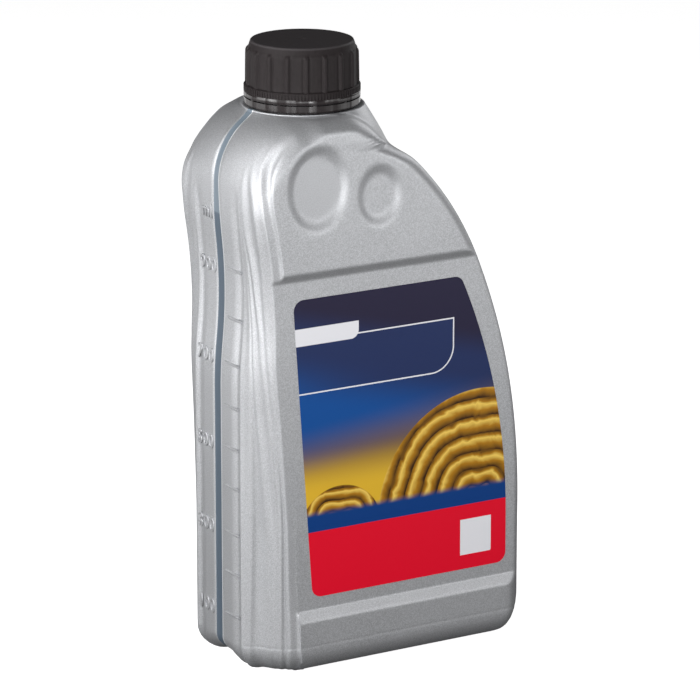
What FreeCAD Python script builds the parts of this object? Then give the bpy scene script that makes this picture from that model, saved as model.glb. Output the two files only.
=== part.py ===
import FreeCAD, Part
import math
import os

# Bottle body, seen from the front: X across, Z up, Y from front (-) to back (+)
body_width = 114.4
body_depth = 62.5
body_top = 206.3
wall = 1.1
edge_round = 6.0

# Front outline: base corners, long right side, shoulder, left shoulder and waist
base_corner_right = 15.0
base_corner_left = 9.5
side_radius = 255.0
side_turn = 22.7
shoulder_radius = 117.0
shoulder_end = 60.0
right_crown_radius = 16.6
left_shoulder_radius = 27.0
left_shoulder_end = 120.0
left_crown_radius = 12.0
waist_radius = 181.0
waist_turn = 6.0
waist_middle = 142.0

# Fluted corners beside the level band: width of the cut, fullness of the corner, flutes
band_half_width = 16.6
flute_top = 183.0
flute_depth = 1.1
flute_lead_in = 0.45
inner_lead_in = 0.7
corner_cut = (15.9, 11.6, 7.4)
corner_fullness = (0.12, 0.32, 2.2)

# Panel that takes the label, sunk between two ledges on front and back
panel_bottom = 24.3
panel_top = 150.2
panel_sink = 1.7
ledge_flank = 1.3
ledge_round = 1.2

# Thumb dimples on the shoulder: large and small, on front and back
large_dimple = {"x": -33.3, "z": 181.8, "width": 24.6, "height": 32.6, "depth": 2.2}
small_dimple = {"x": -7.5, "z": 176.6, "width": 18.4, "height": 23.6, "depth": 1.7}
dimple_wall = 3.4
dimple_round = 1.4

# Groove under the base, along the parting plane
base_groove_width = 12.0
base_groove_flank = 5.5
base_groove_depth = 2.3

# Neck with its cone, the bead that holds the ring, and the mouth
neck_axis_x = -21.1
neck_radius = 17.2
neck_wall = 2.0
neck_height = 21.3
neck_rim_round = 0.6
cone_land = 0.4
cone_top_radius = 22.6
cone_foot_radius = 30.4
cone_height = 12.3
bead_stand_off = 1.4
bead_height = 1.6

# Ring left on the neck, with the bridges that held it to the cap
ring_lift = 0.25
ring_height = 2.75
ring_radius = 21.1
ring_play = 1.0
ring_edge_round = 0.8
bridge_count = 10
bridge_width = 1.2
bridge_depth = 0.9
bridge_gap = 0.05
slit = 0.35

# Screw cap
cap_top = 230.0
cap_skirt_radius = 21.2
cap_skirt_height = 4.3
cap_panel_radius = 20.05
cap_cone_radius = 19.8
cap_cone_height = 3.7
cap_disc_radius = 18.6
cap_edge_round = 0.45
cap_roof = 1.6
thread_gap = 1.7
thread_zone = 12.5
cap_seat_taper = 3.0
cap_seat_gap = 0.35
rib_count = 18
rib_phase = 4.0
rib_width = 1.3
rib_stand_off = 0.7
rib_top_below_disc = 3.3
rib_top_slope = 1.3
gate_radius = 0.9
gate_depth = 0.3

# Sealing disc in the cap
liner_thickness = 1.2
liner_edge_gap = 0.1
seal_gap = 0.02

# Label film on the front panel
label_thickness = 0.12
label_bottom = 28.7
label_top = 141.6
label_left_bottom = 22.5
label_left_top = 14.7
label_right_margin = 8.1
label_side_radius = 228.0
label_side_straight = 47.0
label_corner = 4.0

# Oil
oil_level = 170.0
oil_gap = 0.3

half_width = body_width / 2
half_depth = body_depth / 2
panel_face = half_depth - panel_sink
neck_land = body_top - cone_land
neck_top = neck_land + neck_height
cone_foot = neck_land - cone_height
ring_bottom = body_top + ring_lift
ring_top = ring_bottom + ring_height
cap_bottom = ring_top + slit
cap_ledge = cap_bottom + cap_skirt_height
cap_bore_radius = neck_radius + thread_gap
cap_seat_radius = neck_radius + cap_seat_gap
cap_underside = cap_top - cap_roof


def vec(x, y, z):
    return FreeCAD.Vector(x, y, z)


def wireOf(points):
    return Part.makePolygon(points + points[:1])


def turned(profile):
    """Solid turned about the neck axis from points of radius and height."""
    outline = wireOf([vec(neck_axis_x + radius, 0, z) for radius, z in profile])
    return Part.Face(outline).revolve(vec(neck_axis_x, 0, 0), vec(0, 0, 1), 360)


def mirrored(shape):
    return shape.mirror(vec(0, 0, 0), vec(0, 1, 0))


def roundEdges(solid, radius, chosen):
    return solid.makeFillet(radius, [edge for edge in solid.Edges if chosen(edge)])


def frontPoint(centre, radius, angle):
    turn = math.radians(angle)
    return vec(centre[0] + radius * math.cos(turn), 0, centre[1] + radius * math.sin(turn))


def rightSideArcs():
    """Long side, shoulder and crown on the right, each tangent to the one before."""
    turn = math.radians(side_turn)
    end = math.radians(shoulder_end)
    tip_z = body_top - right_crown_radius * (1 - math.sin(end))
    side_tip_z = tip_z - shoulder_radius * (math.sin(end) - math.sin(turn))
    side_centre = (half_width - side_radius, side_tip_z - side_radius * math.sin(turn))
    side_tip = frontPoint(side_centre, side_radius, side_turn)
    shoulder_x = side_tip.x - shoulder_radius * math.cos(turn)
    shoulder_centre = (shoulder_x, side_tip.z - shoulder_radius * math.sin(turn))
    tip = frontPoint(shoulder_centre, shoulder_radius, shoulder_end)
    crown_x = tip.x - right_crown_radius * math.cos(end)
    crown_centre = (crown_x, body_top - right_crown_radius)
    return [
        (side_centre, side_radius, 0, side_turn, 1),
        (shoulder_centre, shoulder_radius, side_turn, shoulder_end, 1),
        (crown_centre, right_crown_radius, shoulder_end, 90, 1),
    ]


def leftSideArcs():
    """Crown and shoulder on the left, then the shallow waist for the hand."""
    end = math.radians(left_shoulder_end)
    tip_z = body_top - left_crown_radius * (1 - math.sin(end))
    shoulder_centre = (-half_width + left_shoulder_radius, tip_z - left_shoulder_radius * math.sin(end))
    tip_x = shoulder_centre[0] + left_shoulder_radius * math.cos(end)
    crown_centre = (tip_x - left_crown_radius * math.cos(end), body_top - left_crown_radius)
    turn = math.radians(waist_turn)
    rise = 2 * waist_radius * math.sin(turn)
    step = 2 * waist_radius * (1 - math.cos(turn))
    bulge_x = -half_width + waist_radius
    hollow_x = -half_width + step - waist_radius
    return [
        (crown_centre, left_crown_radius, 90, left_shoulder_end, 1),
        (shoulder_centre, left_shoulder_radius, left_shoulder_end, 180, 1),
        ((bulge_x, waist_middle + rise), waist_radius, 180, 180 + waist_turn, 1),
        ((hollow_x, waist_middle), waist_radius, waist_turn, -waist_turn, -1),
        ((bulge_x, waist_middle - rise), waist_radius, 180 - waist_turn, 180, 1),
    ]


def outlineFace(inset):
    """Front outline moved inwards, in the plane Y = 0: arcs of centre, radius, angles, bulge."""
    right_foot = ((half_width - base_corner_right, base_corner_right), base_corner_right, -90, 0, 1)
    left_foot = ((base_corner_left - half_width, base_corner_left), base_corner_left, 180, 270, 1)
    edges = []
    ends = []
    for centre, radius, start, end, bulge in [right_foot] + rightSideArcs() + leftSideArcs() + [left_foot]:
        reach = radius - bulge * inset
        points = [frontPoint(centre, reach, angle) for angle in (start, (start + end) / 2, end)]
        if ends and ends[-1].distanceToPoint(points[0]) > 1e-6:
            edges.append(Part.makeLine(ends[-1], points[0]))
        edges.append(Part.Arc(*points).toShape())
        ends += [points[0], points[2]]
    edges.append(Part.makeLine(ends[-1], ends[0]))
    return Part.Face(Part.Wire(edges))


def slab(inset):
    """Body with rounded front and back edges, before anything is cut into it."""
    depth = half_depth - inset
    face = outlineFace(inset)
    face.translate(vec(0, -depth, 0))
    block = face.extrude(vec(0, 2 * depth, 0))

    def onRim(edge):
        box = edge.BoundBox
        return box.YLength < 1e-6 and abs(abs(box.YMin) - depth) < 1e-6

    return roundEdges(block, edge_round - inset, onRim)


def throughThree(values, t):
    """Parabola through three values, at t = 0, 0.5 and 1."""
    low, middle, high = values
    return low * (1 - t) * (1 - 2 * t) + middle * 4 * t * (1 - t) + high * t * (2 * t - 1)


# Ridges of a fluted corner from band to front face, as shares of the corner at foot, middle, top
flute_ridges = [
    (0.24, 0.29, 0.03),
    (0.48, 0.35, 0.06),
    (0.57, 0.54, 0.34),
    (0.665, 0.68, 0.61),
    (0.89, 0.92, 0.985),
]
# Depth of the hollow before each ridge and after the last, in flute depths
flute_hollows = [
    (0.20, 0.70, 0.05),
    (1.00, 0.10, 0.02),
    (0.35, 0.55, 0.20),
    (0.25, 0.45, 0.25),
    (0.75, 0.80, 0.90),
    (0.15, 0.05, 0.02),
]
flute_levels = [-3.0, 20.0, 45.0, 70.0, 95.0, 120.0, 145.0, 165.0, flute_top]


def cornerFullness(t):
    """Weight of the corner's middle, always over zero: the three values meet as logarithms."""
    return math.exp(throughThree([math.log(value) for value in corner_fullness], t))


def leftSideX(z):
    """Left side of the outline at a height below its shoulder."""
    quarter = waist_radius * math.sin(math.radians(waist_turn))
    step = waist_radius * (1 - math.cos(math.radians(waist_turn)))
    away = abs(z - waist_middle)
    if away > 2 * quarter:
        return -half_width
    if away > quarter:
        return -half_width + waist_radius - math.sqrt(waist_radius**2 - (2 * quarter - away) ** 2)
    return -half_width + 2 * step - waist_radius + math.sqrt(waist_radius**2 - away**2)


def cornerPoint(z, share, sink):
    """Point of the front left corner in plan, sunk across the corner."""
    t = min(max(z / flute_top, 0), 1)
    side = leftSideX(z)
    band_edge = vec(side, -band_half_width, z)
    corner = vec(side, -half_depth, z)
    face_edge = vec(side + throughThree(corner_cut, t), -half_depth, z)
    pull = 2 * cornerFullness(t) * share * (1 - share)
    total = (1 - share) ** 2 + pull + share**2
    point = (band_edge * (1 - share) ** 2 + corner * pull + face_edge * share**2) * (1 / total)
    inward = vec(band_half_width - half_depth, -(face_edge.x - side), 0)
    inward.normalize()
    return point + inward * -sink


def cornerEdges(z, start, end):
    """Flutes from band to front face: a shallow arc between each ridge and the next."""
    t = min(max(z / flute_top, 0), 1)
    shares = [throughThree(ridge, t) for ridge in flute_ridges] + [1.0]
    ridges = [cornerPoint(z, share, 0) for share in shares[:-1]] + [end]
    edges = []
    last, last_share = start, 0.0
    for share, ridge, hollow in zip(shares, ridges, flute_hollows):
        middle = cornerPoint(z, (last_share + share) / 2, throughThree(hollow, t) * flute_depth)
        edges.append(Part.Arc(last, middle, ridge).toShape())
        last, last_share = ridge, share
    return edges


def plainCornerEdges(z, start, end):
    """Smooth inside of the same corner, as one curve."""
    t = min(max(z / flute_top, 0), 1)
    curve = Part.BezierCurve()
    curve.setPoles([start, vec(leftSideX(z), -half_depth, z), end])
    curve.setWeight(2, cornerFullness(t))
    return [curve.toShape()]


def cornerSection(z, curveEdges, lead_in):
    """Closed section outside the front left corner, with the corner's curve on its inner side."""
    reach = 14.0
    side = cornerPoint(z, 0, 0) - vec(lead_in, 0, 0)
    face = cornerPoint(z, 1, 0) - vec(0, lead_in, 0)
    far_side = vec(side.x - reach, side.y, z)
    far_face = vec(face.x, face.y - reach, z)
    outside = [face, far_face, vec(far_side.x, far_face.y, z), far_side, side]
    edges = curveEdges(z, side, face)
    edges += [Part.makeLine(a, b) for a, b in zip(outside, outside[1:])]
    return Part.Wire(edges)


def fluteTool(inset):
    """Cut for the fluted corner; the wall's smooth inside stays clear of the hollows."""
    if inset:
        sections = [cornerSection(z, plainCornerEdges, inner_lead_in) for z in flute_levels]
        shift = (inset + flute_depth) / math.sqrt(2)
    else:
        sections = [cornerSection(z, cornerEdges, flute_lead_in) for z in flute_levels]
        shift = 0
    tool = Part.makeLoft(sections, True, False)
    tool.translate(vec(shift, shift, 0))
    return tool


def panelTool(inset):
    """Trough across the front, whose flanks are the ledges over and under the label."""
    face = half_depth - inset
    deep = panel_face - inset
    slope = ledge_flank / panel_sink
    rise = slope * (panel_sink + inset)
    low, high = panel_bottom - slope * inset, panel_top + slope * inset
    clear = body_width
    profile = [(face + inset + 1, low - slope), (deep, low + rise), (deep, high - rise), (face + inset + 1, high + slope)]
    outline = wireOf([vec(-clear, -y, z) for y, z in profile])
    trough = Part.Face(outline).extrude(vec(2 * clear, 0, 0))

    def onFloor(edge):
        box = edge.BoundBox
        return box.XLength > clear and abs(box.YMax + deep) < 1e-6

    return roundEdges(trough, ledge_round, onFloor)


def ellipseWire(dimple, grow, y):
    across = dimple["width"] / 2 + grow
    up = dimple["height"] / 2 + grow
    centre = vec(dimple["x"], y, dimple["z"])
    rim = Part.Ellipse(centre + vec(0, 0, up), centre + vec(across, 0, 0), centre)
    return Part.Wire(rim.toShape())


def dimpleTool(dimple, inset):
    """Oval recess with sloping walls and a rounded floor."""
    face = -(half_depth - inset)
    floor = face + dimple["depth"]
    lead = 1.0
    slope = dimple_wall / dimple["depth"]
    grow = inset / 2
    rim = ellipseWire(dimple, grow + slope * lead, face - lead)
    base = ellipseWire(dimple, grow - dimple_wall, floor)
    tool = Part.makeLoft([rim, base], True, True)
    return roundEdges(tool, dimple_round, lambda edge: abs(edge.BoundBox.YMin - floor) < 1e-3)


def baseGrooveTool(inset):
    half = base_groove_width / 2 + inset / 2
    lead = 1.0 + inset
    slope = base_groove_flank / base_groove_depth
    top = base_groove_depth + inset
    profile = [(-half - slope * (lead + top - inset), -lead), (-half, top), (half, top)]
    profile.append((half + slope * (lead + top - inset), -lead))
    outline = wireOf([vec(-body_width, y, z) for y, z in profile])
    groove = Part.Face(outline).extrude(vec(2 * body_width, 0, 0))

    def onCrest(edge):
        box = edge.BoundBox
        return box.XLength > body_width and abs(box.ZMin - top) < 1e-6

    return roundEdges(groove, base_groove_flank / 2, onCrest)


def bottleForm(inset):
    """Whole blown form below the neck, moved inwards by a wall."""
    front_tools = [fluteTool(inset), panelTool(inset)]
    front_tools += [dimpleTool(large_dimple, inset), dimpleTool(small_dimple, inset)]
    form = slab(inset)
    for tool in front_tools:
        form = form.cut(tool).cut(mirrored(tool))
    form = form.cut(baseGrooveTool(inset))
    cone_inset = inset * 1.15
    cone = turned([
        (0, cone_foot),
        (cone_foot_radius - cone_inset, cone_foot),
        (cone_top_radius - cone_inset, neck_land - inset),
        (0, neck_land - inset),
    ])
    return form.fuse(cone)


def makeBottle():
    rim = turned([(0, cone_foot), (neck_radius, cone_foot), (neck_radius, neck_top), (0, neck_top)])
    rim = roundEdges(rim, neck_rim_round, lambda edge: abs(edge.BoundBox.ZMin - neck_top) < 1e-6)
    bead_bottom = ring_top + slit
    bead_radius = neck_radius + bead_stand_off
    bead = turned([
        (neck_radius - neck_wall / 2, bead_bottom),
        (bead_radius, bead_bottom),
        (bead_radius, bead_bottom + bead_height / 3),
        (neck_radius - neck_wall / 2, bead_bottom + bead_height),
    ])
    bore_radius = neck_radius - neck_wall
    bore = turned([(0, cone_foot), (bore_radius, cone_foot), (bore_radius, neck_top + 1), (0, neck_top + 1)])
    outer = bottleForm(0).fuse(rim).fuse(bead)
    inner = bottleForm(wall).fuse(bore)
    return outer.cut(inner)


def makeOil():
    form = bottleForm(wall + oil_gap)
    above = Part.makeBox(2 * body_width, 2 * body_depth, body_top, vec(-body_width, -body_depth, oil_level))
    return form.cut(above)


def makeRing():
    bore_radius = neck_radius + ring_play
    ring = turned([
        (bore_radius, ring_bottom),
        (ring_radius, ring_bottom),
        (ring_radius, ring_top),
        (bore_radius, ring_top),
    ])

    def onLowerRim(edge):
        box = edge.BoundBox
        return box.ZMax < ring_bottom + 1e-6 and box.YLength > 2 * bore_radius + 1

    ring = roundEdges(ring, ring_edge_round, onLowerRim)
    bridges = []
    for n in range(bridge_count):
        start = vec(neck_axis_x + ring_radius - bridge_depth - 0.2, -bridge_width / 2, ring_top - 0.2)
        bridge = Part.makeBox(bridge_depth, bridge_width, slit - bridge_gap + 0.2, start)
        bridge.rotate(vec(neck_axis_x, 0, 0), vec(0, 0, 1), 360 * n / bridge_count)
        bridges.append(bridge)
    return ring.fuse(bridges)


def gripRib(turn):
    """Narrow upright rib of the grip, with a sloping top that runs into the cone."""
    root = cap_panel_radius - 0.8
    crest = cap_panel_radius + rib_stand_off
    top = cap_top - rib_top_below_disc
    profile = [(root, cap_ledge - 0.3), (crest, cap_ledge - 0.3), (crest, top - rib_top_slope), (root, top + 0.4)]
    outline = wireOf([vec(neck_axis_x + x, -rib_width / 2, z) for x, z in profile])
    rib = Part.Face(outline).extrude(vec(0, rib_width, 0))
    rib.rotate(vec(neck_axis_x, 0, 0), vec(0, 0, 1), turn)
    return rib


def makeCap():
    cone_foot_z = cap_top - cap_cone_height
    body = turned([
        (0, cap_bottom),
        (cap_skirt_radius, cap_bottom),
        (cap_skirt_radius, cap_ledge),
        (cap_panel_radius, cap_ledge),
        (cap_cone_radius, cone_foot_z),
        (cap_disc_radius, cap_top),
        (0, cap_top),
    ])
    body = roundEdges(body, cap_edge_round, lambda edge: abs(edge.BoundBox.ZMin - cap_top) < 1e-6)
    ribs = [gripRib(rib_phase + 360 * n / rib_count) for n in range(rib_count)]
    taper_foot = cap_bottom + thread_zone
    hollow = turned([
        (0, cap_bottom - 1),
        (cap_bore_radius, cap_bottom - 1),
        (cap_bore_radius, taper_foot),
        (cap_seat_radius, taper_foot + cap_seat_taper),
        (cap_seat_radius, cap_underside),
        (0, cap_underside),
    ])
    gate = Part.makeCylinder(gate_radius, 2 * gate_depth, vec(neck_axis_x, 0, cap_top - gate_depth))
    return body.fuse(ribs).cut(hollow).cut(gate)


def makeLiner():
    radius = cap_seat_radius - liner_edge_gap
    bottom = vec(neck_axis_x, 0, neck_top + seal_gap)
    return Part.makeCylinder(radius, cap_underside - seal_gap - bottom.z, bottom)


def makeLabel():
    """Film with four rounded corners, its right edge curved like the body's side."""
    left_bottom = vec(label_left_bottom - half_width, 0, label_bottom)
    left_top = vec(label_left_top - half_width, 0, label_top)
    right = half_width - label_right_margin
    side_centre = (right - label_side_radius, label_side_straight)
    tip_angle = math.degrees(math.asin((label_top - label_side_straight) / label_side_radius))
    side = [frontPoint(side_centre, label_side_radius, angle) for angle in (0, tip_angle / 2, tip_angle)]
    right_bottom = vec(right, 0, label_bottom)
    edges = [
        Part.makeLine(left_bottom, right_bottom),
        Part.makeLine(right_bottom, side[0]),
        Part.Arc(*side).toShape(),
        Part.makeLine(side[2], left_top),
        Part.makeLine(left_top, left_bottom),
    ]
    film = Part.Face(Part.Wire(edges))
    film.translate(vec(0, -panel_face - label_thickness, 0))
    film = film.extrude(vec(0, label_thickness, 0))
    corners = [left_bottom, right_bottom, side[2], left_top]

    def onCorner(edge):
        box = edge.BoundBox
        near = [p for p in corners if abs(box.Center.x - p.x) + abs(box.Center.z - p.z) < 1e-3]
        return box.YLength > label_thickness / 2 and bool(near)

    return roundEdges(film, label_corner, onCorner)


nodes = {
    "bottle": makeBottle,
    "screw_cap": makeCap,
    "tamper_ring": makeRing,
    "cap_liner": makeLiner,
    "front_label": makeLabel,
    "engine_oil": makeOil,
}

os.makedirs("parts", exist_ok=True)
for name, make in nodes.items():
    shape = make()
    print(name, "valid", shape.isValid(), "solids", len(shape.Solids), "volume", round(shape.Volume, 1))
    shape.exportStep(f"parts/{name}.step")
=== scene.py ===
import bpy
import math
import numpy as np
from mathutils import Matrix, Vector


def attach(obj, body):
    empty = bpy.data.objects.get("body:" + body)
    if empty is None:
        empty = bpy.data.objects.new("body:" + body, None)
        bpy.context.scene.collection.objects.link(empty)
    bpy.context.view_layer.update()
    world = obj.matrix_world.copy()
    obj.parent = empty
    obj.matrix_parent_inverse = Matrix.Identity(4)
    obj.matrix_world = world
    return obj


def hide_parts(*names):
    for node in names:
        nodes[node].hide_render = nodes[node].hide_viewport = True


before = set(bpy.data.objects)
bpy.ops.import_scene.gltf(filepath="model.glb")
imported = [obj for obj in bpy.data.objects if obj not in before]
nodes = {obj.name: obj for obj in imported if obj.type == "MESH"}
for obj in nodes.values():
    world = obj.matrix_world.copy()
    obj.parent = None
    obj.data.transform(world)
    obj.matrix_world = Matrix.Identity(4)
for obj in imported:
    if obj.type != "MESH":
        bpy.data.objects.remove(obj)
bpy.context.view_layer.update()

mm = 0.001


# Meshes and objects, from points in millimetres

def addObject(name, mesh, material=None):
    # Puts a mesh in the scene at the origin, smooth, with one material
    obj = bpy.data.objects.new(name, mesh)
    bpy.context.scene.collection.objects.link(obj)
    if material:
        mesh.materials.append(material)
    for face in mesh.polygons:
        face.use_smooth = True
    return obj


def addMesh(name, points, faces, material=None):
    mesh = bpy.data.meshes.new(name)
    mesh.from_pydata([tuple(p) for p in np.asarray(points) * mm], [], faces)
    mesh.validate()
    mesh.update()
    return addObject(name, mesh, material)


def ringFaces(ringCount, size, first=0):
    # Quads between closed rings of the same number of points
    faces = []
    for r in range(ringCount - 1):
        low = first + r * size
        for n in range(size):
            m = (n + 1) % size
            faces.append((low + n, low + m, low + size + m, low + size + n))
    return faces


def smoothStep(low, high, value):
    t = np.clip((np.asarray(value, float) - low) / (high - low), 0, 1)
    return t * t * (3 - 2 * t)


def softMin(a, b, width):
    # The lower of two values, with a rounded crease
    h = np.clip(0.5 + 0.5 * (b - a) / width, 0, 1)
    return b * (1 - h) + a * h - width * h * (1 - h)


def softMax(a, b, width):
    return -softMin(-np.asarray(a), -np.asarray(b), width)


# Materials are built as small expressions over shader nodes

class Shader:
    # A material with a Principled shader and short helpers for its procedural inputs

    def __init__(self, name, color, roughness, **inputs):
        self.material = bpy.data.materials.new(name)
        self.material.use_nodes = True
        self.tree = self.material.node_tree
        self.shader = self.tree.nodes["Principled BSDF"]
        self.shader.inputs["Base Color"].default_value = (*color, 1)
        self.shader.inputs["Roughness"].default_value = roughness
        for key, value in inputs.items():
            self.shader.inputs[key.replace("_", " ")].default_value = value
        self.place = None

    def node(self, kind, **values):
        made = self.tree.nodes.new(kind)
        for key, value in values.items():
            setattr(made, key, value)
        return made

    def feed(self, socket, value):
        if hasattr(value, "is_output"):
            self.tree.links.new(value, socket)
        elif isinstance(value, tuple) and len(value) == 3 and socket.type == "RGBA":
            socket.default_value = (*value, 1)
        else:
            socket.default_value = value

    def math(self, operation, a, b=0.0, c=0.0):
        made = self.node("ShaderNodeMath", operation=operation)
        for socket, value in zip(made.inputs, (a, b, c)):
            self.feed(socket, value)
        return made.outputs[0]

    def add(self, a, b):
        return self.math("ADD", a, b)

    def minus(self, a, b):
        return self.math("SUBTRACT", a, b)

    def times(self, a, b):
        return self.math("MULTIPLY", a, b)

    def length(self, a, b):
        return self.math("SQRT", self.add(self.times(a, a), self.times(b, b)))

    def coordinates(self):
        # Object coordinates in millimetres, whole and as three sockets
        if not self.place:
            source = self.node("ShaderNodeTexCoord")
            scale = self.node("ShaderNodeVectorMath", operation="SCALE")
            scale.inputs[3].default_value = 1 / mm
            self.tree.links.new(source.outputs["Object"], scale.inputs[0])
            split = self.node("ShaderNodeSeparateXYZ")
            self.tree.links.new(scale.outputs[0], split.inputs[0])
            self.place = (scale.outputs[0], *split.outputs)
        return self.place

    def noise(self, scale, detail=2.0, roughness=0.5, stretch=None, distortion=0.0):
        # Noise over millimetres; scale is features per millimetre
        made = self.node("ShaderNodeTexNoise")
        made.inputs["Scale"].default_value = scale
        made.inputs["Detail"].default_value = detail
        made.inputs["Roughness"].default_value = roughness
        made.inputs["Distortion"].default_value = distortion
        source = self.coordinates()[0]
        if stretch:
            wide = self.node("ShaderNodeVectorMath", operation="MULTIPLY")
            wide.inputs[1].default_value = stretch
            self.tree.links.new(source, wide.inputs[0])
            source = wide.outputs[0]
        self.tree.links.new(source, made.inputs["Vector"])
        return made.outputs["Fac"]

    def step(self, value, low, high):
        # 0 below low, 1 above high, smooth between
        made = self.node("ShaderNodeMapRange", interpolation_type="SMOOTHSTEP")
        for key, number in (("Value", value), ("From Min", low), ("From Max", high)):
            self.feed(made.inputs[key], number)
        return made.outputs[0]

    def mix(self, factor, a, b):
        made = self.node("ShaderNodeMix", data_type="RGBA")
        self.feed(made.inputs["Factor"], factor)
        self.feed(made.inputs[6], a)
        self.feed(made.inputs[7], b)
        return made.outputs[2]

    def blend(self, factor, a, b):
        # Number a where factor is 0 and b where it is 1
        made = self.node("ShaderNodeMix", data_type="FLOAT")
        self.feed(made.inputs["Factor"], factor)
        self.feed(made.inputs[2], a)
        self.feed(made.inputs[3], b)
        return made.outputs[0]

    def ramp(self, factor, stops):
        made = self.node("ShaderNodeValToRGB")
        while len(made.color_ramp.elements) < len(stops):
            made.color_ramp.elements.new(0.5)
        for element, (position, color) in zip(made.color_ramp.elements, stops):
            element.position = position
            element.color = (*color, 1)
        self.feed(made.inputs[0], factor)
        return made.outputs[0]

    def bump(self, height, strength, distance):
        made = self.node("ShaderNodeBump")
        made.inputs["Strength"].default_value = strength
        made.inputs["Distance"].default_value = distance * mm
        self.tree.links.new(height, made.inputs["Height"])
        self.tree.links.new(made.outputs[0], self.shader.inputs["Normal"])

    def color(self, value):
        self.feed(self.shader.inputs["Base Color"], value)

    def rough(self, value):
        self.feed(self.shader.inputs["Roughness"], value)


# Shell: silver polyethylene with fine flakes, the translucent stripe that shows the oil, and a painted
# highlight along the stripe's front edge

stripe = {
    "halfLow": 2.3,
    "halfHigh": 1.65,
    "taper": (162.0, 186.0),
    "sideX": -38.5,
    "sink": 0.3,
    "oilLevel": 170.0,
    "light": (0.15, 0.185, 0.22),
    "dark": (0.07, 0.095, 0.125),
    # Pale tone, width and foot of a painted highlight along the stripe's front edge
    "paintedHighlight": (0.78, 0.79, 0.8),
    "highlightWidth": (0.75, 0.45),
    "highlightFoot": (2.0, 6.0),
}
silver = {
    "deep": (0.4, 0.405, 0.42),
    "pale": (0.56, 0.57, 0.59),
    "cloud": (0.62, 0.63, 0.65),
    "metal": 0.7,
    "rough": (0.46, 0.56),
}


def makeShellMaterial():
    shell = Shader("silverShell", (0.5, 0.51, 0.525), 0.42, Metallic=silver["metal"], Coat_Weight=0.06)
    x, y, z = shell.coordinates()[1:]
    flakes = shell.noise(3.2, detail=1.0, roughness=0.4)
    clouds = shell.noise(0.03, detail=2.0)
    tone = shell.mix(shell.step(flakes, 0.32, 0.7), silver["deep"], silver["pale"])
    tone = shell.mix(shell.times(shell.step(clouds, 0.3, 0.7), 0.12), tone, silver["cloud"])
    side = shell.math("LESS_THAN", x, stripe["sideX"])
    away = shell.math("ABSOLUTE", y)
    half = shell.blend(shell.step(z, *stripe["taper"]), stripe["halfLow"], stripe["halfHigh"])
    past = shell.minus(away, half)
    inStripe = shell.times(side, shell.step(past, 0.1, -0.1))
    # Painted highlight: a pale, non-metallic line just outside the stripe, on its front side only, where
    # the recess's edge catches the light
    onPaintedHighlight = shell.times(shell.step(past, *stripe["highlightWidth"]), shell.math("LESS_THAN", y, 0.0))
    onPaintedHighlight = shell.times(onPaintedHighlight, shell.times(side, shell.step(z, *stripe["highlightFoot"])))
    level = shell.step(z, stripe["oilLevel"] - 0.5, stripe["oilLevel"] + 0.5)
    glass = shell.mix(level, stripe["dark"], stripe["light"])
    tone = shell.mix(shell.times(onPaintedHighlight, 0.8), tone, stripe["paintedHighlight"])
    shell.color(shell.mix(inStripe, tone, glass))
    plain = shell.math("MAXIMUM", inStripe, onPaintedHighlight)
    shell.feed(shell.shader.inputs["Metallic"], shell.blend(plain, silver["metal"], 0.0))
    grain = shell.noise(0.9, detail=2.0, roughness=0.6)
    shell.rough(shell.blend(grain, *silver["rough"]))
    shell.bump(shell.noise(1.4, detail=2.0, roughness=0.5), 0.1, 0.05)
    return shell.material


shellMaterial = makeShellMaterial()

blackPlastic = {
    "dark": (0.016, 0.013, 0.0135),
    "worn": (0.034, 0.0285, 0.029),
    # Painted light: a lighter tone for the top face, and the height where it begins
    "paintedLitTop": (0.05, 0.045, 0.047),
    "mattFrom": (211.5, 211.8),
    "litTopFrom": (229.0, 229.6),
    "glossRough": 0.18,
    "mattRough": (0.46, 0.6),
    "glossShine": (0.15, 0.8),
    "mattShine": 0.12,
}


def makeCapMaterial():
    # Near-black moulded plastic, matt on top and glossy round the smooth rings of the skirt; the top face
    # is painted lighter, as painted light
    cap = Shader("blackCap", (0.02, 0.018, 0.0185), 0.42, Specular_IOR_Level=0.32)
    z = cap.coordinates()[3]
    wear = cap.noise(0.5, detail=3.0, roughness=0.6)
    streak = cap.noise(1.6, detail=2.0, stretch=(1, 1, 0.12))
    side = cap.mix(cap.times(wear, streak), blackPlastic["dark"], blackPlastic["worn"])
    # Painted light: the top face takes a lighter tone than the sides, standing in for light falling on it
    cap.color(cap.mix(cap.step(z, *blackPlastic["litTopFrom"]), side, blackPlastic["paintedLitTop"]))
    gloss = cap.step(cap.noise(0.3, detail=1.0, stretch=(1, 1, 0.08)), 0.42, 0.6)
    matt = cap.step(z, *blackPlastic["mattFrom"])
    cap.rough(cap.blend(matt, blackPlastic["glossRough"], cap.blend(wear, *blackPlastic["mattRough"])))
    shine = cap.blend(gloss, *blackPlastic["glossShine"])
    cap.feed(cap.shader.inputs["Specular IOR Level"], cap.blend(matt, shine, blackPlastic["mattShine"]))
    cap.bump(cap.noise(2.4, detail=2.0), 0.1, 0.03)
    return cap.material


capMaterial = makeCapMaterial()


def makeLinerMaterial():
    liner = Shader("foamLiner", (0.8, 0.8, 0.76), 0.6)
    liner.color(liner.mix(liner.noise(1.6, detail=3.0), (0.74, 0.74, 0.7), (0.84, 0.84, 0.81)))
    liner.bump(liner.noise(2.0, detail=2.0), 0.15, 0.05)
    return liner.material


def makeOilMaterial():
    oil = Shader("amberOil", (0.55, 0.3, 0.04), 0.06, Transmission_Weight=0.35, IOR=1.47)
    oil.color(oil.mix(oil.noise(0.02, detail=1.0), (0.5, 0.26, 0.03), (0.6, 0.34, 0.05)))
    return oil.material


oilMaterial = makeOilMaterial()
print("materials made")


# Bottle shell: closed horizontal rings from the base to the crown, then the neck and the inside

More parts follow.
